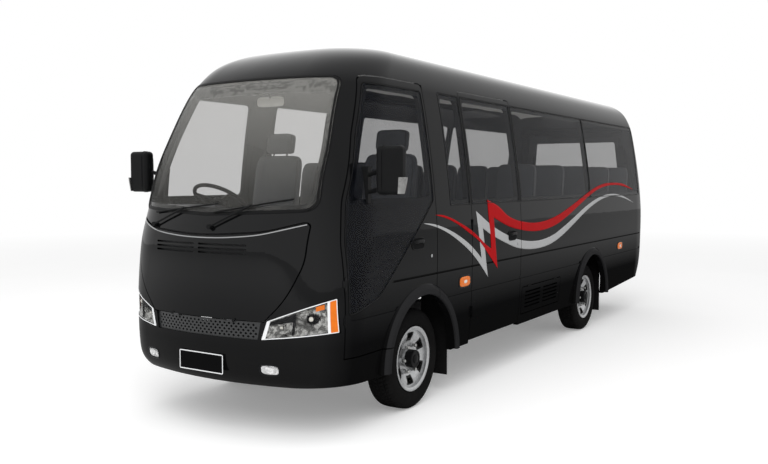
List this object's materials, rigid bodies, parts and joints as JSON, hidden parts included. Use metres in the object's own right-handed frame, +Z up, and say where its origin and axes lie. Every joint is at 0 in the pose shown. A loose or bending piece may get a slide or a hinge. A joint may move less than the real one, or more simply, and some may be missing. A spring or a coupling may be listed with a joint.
{
  "type": "minibus",
  "caption": "Black forward-control minibus on a light truck chassis, with two cab doors, a side entry door, glazed saloon, steering and rolling wheels",
  "frame": {"origin": "on the ground, in the middle of the body's length, on the centre plane", "axes": "+Z up, the front faces -Y, +X is the vehicle's left side"},
  "size_m": [2.476, 7.3554, 2.6939],
  "materials": {
    "body_paint": "gloss",
    "grille_black": "satin",
    "trim_black": "satin",
    "mudflap_rubber": "matte",
    "clear_glass": "clear",
    "tinted_glass": "clear, tinted",
    "lamp_lens": "clear",
    "signal_lens": "gloss",
    "floor_covering": "matte",
    "dash_plastic": "matte",
    "seat_fabric": "woven",
    "chassis_black": "satin",
    "engine_iron": "raw",
    "tyre_rubber": "matte",
    "wheel_steel": "satin"
  },
  "bodies": {
    "body": {"cab_front": "body_paint", "roof": "body_paint", "side_left": "body_paint", "side_right": "body_paint", "rear_wall": "body_paint", "front_bumper": "body_paint", "rear_bumper": "body_paint", "grille": "grille_black", "wipers": "trim_black", "mudflaps": "mudflap_rubber", "windscreen": "clear_glass", "saloon_glass": "tinted_glass", "front_lamps": "lamp_lens", "signal_lamps": "signal_lens", "floor": "floor_covering", "dashboard": "dash_plastic", "front_seats": "seat_fabric", "passenger_seats": "seat_fabric", "front_axle": "chassis_black", "rear_axle": "chassis_black", "chassis_frame": "chassis_black", "driveline": "engine_iron", "tank_and_exhaust": "chassis_black"},
    "wheel_front_left": {"tyre_front_left": "tyre_rubber", "rim_front_left": "wheel_steel"},
    "wheel_front_right": {"tyre_front_right": "tyre_rubber", "rim_front_right": "wheel_steel"},
    "wheel_rear_left": {"tyre_rear_left": "tyre_rubber", "rim_rear_left": "wheel_steel"},
    "wheel_rear_right": {"tyre_rear_right": "tyre_rubber", "rim_rear_right": "wheel_steel"},
    "steer_left": {"knuckle_left": "chassis_black"},
    "steer_right": {"knuckle_right": "chassis_black"},
    "track_rod": {"tie_rod": "chassis_black"},
    "hand_wheel": {"steering_wheel": "dash_plastic"},
    "door_left": {"front_door_left": "body_paint", "door_glass_left": "tinted_glass", "mirror_left": "trim_black"},
    "door_right": {"front_door_right": "body_paint", "door_glass_right": "tinted_glass", "mirror_right": "trim_black"},
    "door_entry": {"entry_door": "body_paint", "entry_glass": "tinted_glass"},
    "hatch": {"front_hatch": "body_paint"},
    "lid": {"service_lid": "body_paint"}
  },
  "joints": [
    {"name": "steer_left_turn", "type": "hinge", "parent": "body", "child": "steer_left", "pos_m": [0.655, -2.36, 0.372], "axis": [0, 0, 1], "range_deg": [-33, 33]},
    {"name": "steer_right_turn", "type": "hinge", "parent": "body", "child": "steer_right", "pos_m": [-0.655, -2.36, 0.372], "axis": [0, 0, 1], "range_deg": [-33.5, 33.5]},
    {"name": "track_rod_turn", "type": "hinge", "parent": "steer_left", "child": "track_rod", "pos_m": [0.655, -2.17, 0.274], "axis": [0, 0, 1], "range_deg": [-33.5, 33.5]},
    {"name": "hand_wheel_turn", "type": "hinge", "parent": "body", "child": "hand_wheel", "pos_m": [-0.55, -2.87, 1.53], "axis": [0, 0.5736, 0.8191], "range_deg": [-545, 545]},
    {"name": "wheel_front_left_spin", "type": "hinge", "parent": "steer_left", "child": "wheel_front_left", "pos_m": [0.772, -2.36, 0.372], "axis": [1, 0, 0], "continuous": true},
    {"name": "wheel_front_right_spin", "type": "hinge", "parent": "steer_right", "child": "wheel_front_right", "pos_m": [-0.772, -2.36, 0.372], "axis": [1, 0, 0], "continuous": true},
    {"name": "wheel_rear_left_spin", "type": "hinge", "parent": "body", "child": "wheel_rear_left", "pos_m": [0.772, 1.49, 0.372], "axis": [1, 0, 0], "continuous": true},
    {"name": "wheel_rear_right_spin", "type": "hinge", "parent": "body", "child": "wheel_rear_right", "pos_m": [-0.772, 1.49, 0.372], "axis": [1, 0, 0], "continuous": true},
    {"name": "door_left_swing", "type": "hinge", "parent": "body", "child": "door_left", "pos_m": [0.921, -3.316, 0.91], "axis": [0, 0, -1], "range_deg": [0, 68]},
    {"name": "door_right_swing", "type": "hinge", "parent": "body", "child": "door_right", "pos_m": [-0.921, -3.316, 0.91], "axis": [0, 0, 1], "range_deg": [0, 68]},
    {"name": "door_entry_swing", "type": "hinge", "parent": "body", "child": "door_entry", "pos_m": [0.96, -1.566, 0.975], "axis": [0, 0, -1], "range_deg": [0, 85]},
    {"name": "hatch_drop", "type": "hinge", "parent": "body", "child": "hatch", "pos_m": [0, -3.649, 0.79], "axis": [1, 0, 0], "range_deg": [0, 75]},
    {"name": "lid_lift", "type": "hinge", "parent": "body", "child": "lid", "pos_m": [0.952, -0.01, 0.704], "axis": [0, -1, 0], "range_deg": [0, 80]}
  ],
  "couplings": [
    {"joint": "steer_right_turn", "follows": "steer_left_turn", "ratio": 1},
    {"joint": "track_rod_turn", "follows": "steer_left_turn", "ratio": -1},
    {"joint": "hand_wheel_turn", "follows": "steer_left_turn", "ratio": 16.36}
  ]
}
